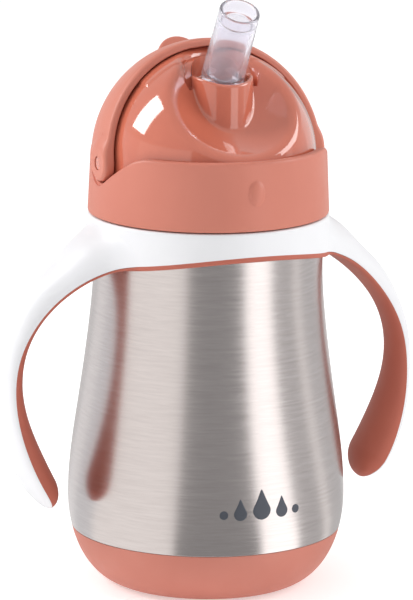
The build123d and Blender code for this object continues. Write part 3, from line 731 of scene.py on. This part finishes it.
def make_cover(side):
    """Half the cover: rows of points from the stud's hole to the side view's outline, over the outer ball, round the
    rounded edge and back under the inner ball. Faces on the middle plane are left out."""
    edge = 0.8
    rows = []

    def over(ball_r, half_w, shares, boss):
        outline, _ = cover_outline(ball_r, half_w)
        reach = np.linalg.norm(outline, axis=1)
        hole, far = math.asin(stud_hole_r / ball_r), np.arcsin(np.clip(reach / ball_r, 0, 1))
        for share in shares:
            turn = hole + share * (far - hole)
            x = ball_r * np.cos(turn)
            x = x + boss * np.clip(boss_x - x, 0, None) * (1 - smooth_step(ball_r * np.sin(turn), 4.0, 8.5))
            rows.append(np.column_stack([x, outline * (ball_r * np.sin(turn) / reach)[:, None]]))

    over(cover_out_r, arm_r - edge, np.linspace(0, 1, 44), 1.0)
    first = len(rows) - 1
    for turn in np.linspace(0, np.pi / 2, 8)[1:]:
        over(cover_out_r - edge + edge * math.cos(turn), arm_r - edge + edge * math.sin(turn), [1], 1 - 0.3 * turn)
    inner = 0.5
    for turn in np.linspace(0, np.pi / 2, 6):
        over(cover_in_r + inner - inner * math.sin(turn), arm_r - inner + inner * math.cos(turn), [1], 0)
    last = len(rows)
    over(cover_in_r, arm_r - inner, np.linspace(1, 0, 30), 0)
    grid = np.stack(rows)
    _, (top_start, top_count) = cover_outline(cover_out_r, arm_r)
    kept = np.ones(grid.shape[:2], bool)
    kept[first:last, top_start : top_start + top_count - 1] = False
    grid = grid * np.array([side, 1, 1]) + np.array([0, 0, pivot_z])
    return sheet(grid, kept=kept)


def make_tab():
    """Thumb tab: a disc with a rounded rim standing on the cover, its lower part drawn up into the wall."""
    angle, disc_r, half_t = math.radians(130.5), 6.8, 1.3
    root_r = cover_out_r - 1.2
    outline = rounded([(0.001, -half_t, 0.0005), (disc_r, -half_t, 0.9), (disc_r, half_t, 0.9),
                       (0.001, half_t, 0.0005)])
    turn = azimuths(72)
    radial = np.array([0, -math.cos(angle), math.sin(angle)])
    normal = np.array([0, math.sin(angle), math.cos(angle)])
    across = outline[:, :1] * np.sin(turn)
    out = cover_out_r - 0.6 + outline[:, :1] * np.cos(turn)
    ball = np.sqrt(root_r**2 - across**2)
    out = soft_max(out, ball, 0.05)
    grid = across[..., None] * np.array([1, 0, 0]) + out[..., None] * radial
    grid = grid + (outline[:, 1:] + 0 * turn)[..., None] * normal + np.array([0, 0, pivot_z])
    return sheet(grid)


piece("swing_cover", [make_cover(1), make_cover(-1), make_tab()], "cover", "cover_satin", cover_finish, "straw_cover")


# ---- straw --------------------------------------------------------------------------------------
def straw_line(along):
    """(y, z) and heading of the straw's centre line at each length along it: up, a bend of 8 mm, then the lean."""
    fine = np.linspace(0, along.max(), 2000)
    straight = straw_bend_z - spout_low_z - 4.0
    heading = straw_lean * smooth_step(fine, straight, straight + 8.0)
    step = fine[1] - fine[0]
    y = spout_y - np.concatenate([[0], np.cumsum(np.sin(heading[:-1]) * step)])
    z = spout_low_z + np.concatenate([[0], np.cumsum(np.cos(heading[:-1]) * step)])
    return np.interp(along, fine, y), np.interp(along, fine, z), np.interp(along, fine, heading)


def make_tip(low):
    """Clear mouthpiece from low along its line to the rim: outer wall, rounded rim, inner wall with a ring near
    the rim and a shelf with a hole at its foot, carried along the bent centre line."""
    full = straw_bend_z - spout_low_z + straw_length
    rim_r = 0.5
    out_s = np.linspace(low, full - rim_r, 90)
    out_r = straw_low_r + (straw_high_r - straw_low_r) * smooth_step(out_s, 12, full)
    turn = np.linspace(0, np.pi, 9)[1:-1]
    in_s = np.linspace(full - rim_r, low, 150)
    ring = 0.5 * np.exp(-(((in_s - full + 4.2) / 0.45) ** 2))
    shelf = 1.9 * (smooth_step(in_s, low + 1.6, low + 2.2) - smooth_step(in_s, low + 3.4, low + 4.2))
    in_r = straw_bore_r + 0.2 * smooth_step(in_s, full - 4.4, full - 3.8) - ring - shelf
    wall = (out_r[-1] - in_r[0]) / 2
    rim_at = (out_r[-1] + in_r[0]) / 2
    along = np.concatenate([out_s, full - rim_r + rim_r * np.sin(turn), in_s])
    radius = np.concatenate([out_r, rim_at + wall * np.cos(turn), in_r])
    y, z, heading = straw_line(along)
    turn = azimuths(96)
    side_y, side_z = np.cos(heading), np.sin(heading)
    across, ahead = radius[:, None] * np.sin(turn), radius[:, None] * np.cos(turn)
    grid = np.stack([across, y[:, None] + ahead * side_y[:, None], z[:, None] + ahead * side_z[:, None]], axis=-1)
    return sheet(grid)


tip_from = 13.6
sleeve_top = spout_low_z + tip_from - 0.05
sleeve = rounded([
    (tube_r, mouthpiece_low[2], 0.2), (nipple_r, mouthpiece_low[2], 0.4),
    (nipple_r, spout_low_z - plug_t, 0.3), (plug_r, spout_low_z - plug_t, 0.3), (plug_r, spout_low_z - 0.02, 0.3),
    (7.2, spout_low_z - 0.02, 0.1), (7.2, spout_low_z + 4.0, 0.4),
    (straw_low_r, spout_low_z + 4.7, 0.3), (straw_low_r, sleeve_top, 0.1),
    (straw_bore_r, sleeve_top, 0.1), (straw_bore_r, spout_low_z + 0.5, 0.2), (tube_r, spout_low_z + 0.5, 0.1),
])
piece("straw_plug", [sheet(turned(sleeve, 96, (0, spout_y, 0)))], "lid", "clear_silicone", silicone_finish)
tip = piece("straw_tip", [make_tip(tip_from)], "lid", "clear_silicone", silicone_finish, "straw_mouthpiece")
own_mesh(tip)

# ---- stage --------------------------------------------------------------------------------------
camera_azimuth, camera_rise, camera_roll = math.radians(-23.5), math.radians(12.3), math.radians(0.54)
camera_distance, camera_lens = 1250.0, 173.9
aim = Vector((0, 0, 81.9))


def toward(azimuth, rise):
    """Unit vector at that azimuth and angle above the horizontal."""
    return Vector((math.sin(azimuth) * math.cos(rise), -math.cos(azimuth) * math.cos(rise), math.sin(rise)))


def make_floor():
    """Flat pale floor, 8 m across."""
    edge = 4000.0
    grid = np.array([[(-edge, -edge, 0), (edge, -edge, 0)], [(-edge, edge, 0), (edge, edge, 0)]], float)
    points, quads = sheet(grid, rows_close=False, columns_close=False)
    mesh = bpy.data.meshes.new("floor")
    mesh.from_pydata(points * MM, [], quads)
    floor = bpy.data.objects.new("floor", mesh)
    bpy.context.scene.collection.objects.link(floor)
    made = Finish("floor_white", Roughness=0.9, Base_Color=(0.8, 0.8, 0.8, 1), Emission_Color=(1, 1, 1, 1),
                  Emission_Strength=0.42)
    mesh.materials.append(made.material)


def make_backdrop():
    """White wall far behind everything, which lights nothing: a wide upright cylinder with a closed top."""
    points, quads = sheet(round_axis(np.array([[5000.0], [5000.0], [0.0]]), azimuths(48),
                                     np.array([[-10.0], [4000.0], [5000.0]])), rows_close=False)
    mesh = bpy.data.meshes.new("backdrop")
    mesh.from_pydata(points * MM, [], quads)
    backdrop = bpy.data.objects.new("backdrop", mesh)
    bpy.context.scene.collection.objects.link(backdrop)
    made = Finish("backdrop_white", Base_Color=(0, 0, 0, 1), Emission_Color=(1, 1, 1, 1), Emission_Strength=1.0)
    mesh.materials.append(made.material)
    for ray in ("diffuse", "glossy", "volume_scatter", "shadow"):
        setattr(backdrop, "visible_" + ray, False)


# Brightness of the light tent by azimuth in degrees: (from, brightness, warmth).
tent_bands = [
    (-180, 0.72, 0.0), (-150, 0.95, 0.0), (-128, 0.78, -0.3), (-101, 1.02, 0.5), (-41, 0.32, 0.1), (9, 1.7, 0.3),
    (35, 0.54, 0.1), (60, 0.98, 0.4), (70, 0.62, 0.0), (100, 0.85, 0.0), (128, 0.5, 0.0), (150, 0.95, 0.2),
]


def make_tent():
    """Light tent that only reflections see: a wall round the cup whose brightness changes in upright bands."""
    azimuth = azimuths(180)
    grid = round_axis(np.array([[44.0], [75.0], [260.0]]), azimuth, np.array([[0.5], [20.0], [190.0]]))
    points, quads = sheet(grid, rows_close=False)
    mesh = bpy.data.meshes.new("light_tent")
    mesh.from_pydata(points * MM, [], quads)
    tent = bpy.data.objects.new("light_tent", mesh)
    bpy.context.scene.collection.objects.link(tent)
    made = Finish("tent_light")
    x, y = (made.node("SeparateXYZ", {0: made.place()}, output=k) for k in (0, 1))
    turn = made.math("ARCTAN2", x, made.math("MULTIPLY", y, -1.0))
    ramp = made.tree.nodes.new("ShaderNodeValToRGB")
    made.tree.links.new(made.ranged(turn, 0, 1, -math.pi, math.pi), ramp.inputs[0])
    soft = 1.2
    stops = []
    for i, (start, bright, warm) in enumerate(tent_bands):
        end = tent_bands[i + 1][0] if i + 1 < len(tent_bands) else 180
        colour = (bright * (1 + 0.05 * warm), bright, bright * (1 - 0.06 * warm), 1.0)
        stops += [(start + soft, colour), (end - soft, colour)]
    elements = ramp.color_ramp.elements
    while len(elements) < len(stops):
        elements.new(0.5)
    for element, (degrees, colour) in zip(elements, stops):
        element.position = (degrees + 180) / 360
        element.color = colour
    glow = made.node("Emission", {0: ramp.outputs[0], 1: 1.0})
    made.tree.links.new(glow, made.tree.nodes["Material Output"].inputs[0])
    mesh.materials.append(made.material)
    for ray in ("camera", "diffuse", "transmission", "volume_scatter", "shadow"):
        setattr(tent, "visible_" + ray, False)


def softbox(name, azimuth, rise, distance, width, height, power, colour=(1, 1, 1)):
    """Square area light aimed at the lid."""
    light = bpy.data.lights.new(name, "AREA")
    light.shape, light.size, light.size_y = "RECTANGLE", width, height
    light.energy, light.color = power, colour
    lamp = bpy.data.objects.new(name, light)
    back = toward(math.radians(azimuth), math.radians(rise))
    lamp.location = back * distance + Vector((0, 0, 0.1))
    lamp.rotation_euler = back.to_track_quat("Z", "Y").to_euler()
    lamp.visible_camera = False
    bpy.context.scene.collection.objects.link(lamp)


def make_camera():
    """Camera at the viewing angle, aimed a little off the axis, rolled so that the cup's top leans right."""
    camera = bpy.data.objects.new("camera", bpy.data.cameras.new("camera"))
    camera.data.sensor_fit, camera.data.sensor_height = "VERTICAL", 24
    camera.data.lens = camera_lens
    back = toward(camera_azimuth, camera_rise)
    right = Vector((math.cos(camera_azimuth), math.sin(camera_azimuth), 0))
    place = (aim + back * camera_distance - right * 0.29) * MM
    turn = back.to_track_quat("Z", "Y").to_matrix() @ Matrix.Rotation(camera_roll, 3, "Z")
    camera.matrix_world = Matrix.Translation(place) @ turn.to_4x4()
    bpy.context.scene.collection.objects.link(camera)
    bpy.context.scene.camera = camera


def make_world():
    """Even white surround."""
    world = bpy.data.worlds.new("white_room")
    world.use_nodes = True
    world.node_tree.nodes["Background"].inputs[0].default_value = (1, 1, 1, 1)
    world.node_tree.nodes["Background"].inputs[1].default_value = 0.66
    bpy.context.scene.world = world


make_floor()
make_tent()
make_world()
make_camera()
make_backdrop()
softbox("left_softbox", -113, 35, 0.9, 0.33, 0.46, 4.6)
softbox("right_softbox", 68, 28, 1.3, 0.6, 0.9, 7.0)
bpy.context.scene.view_settings.view_transform = "Standard"
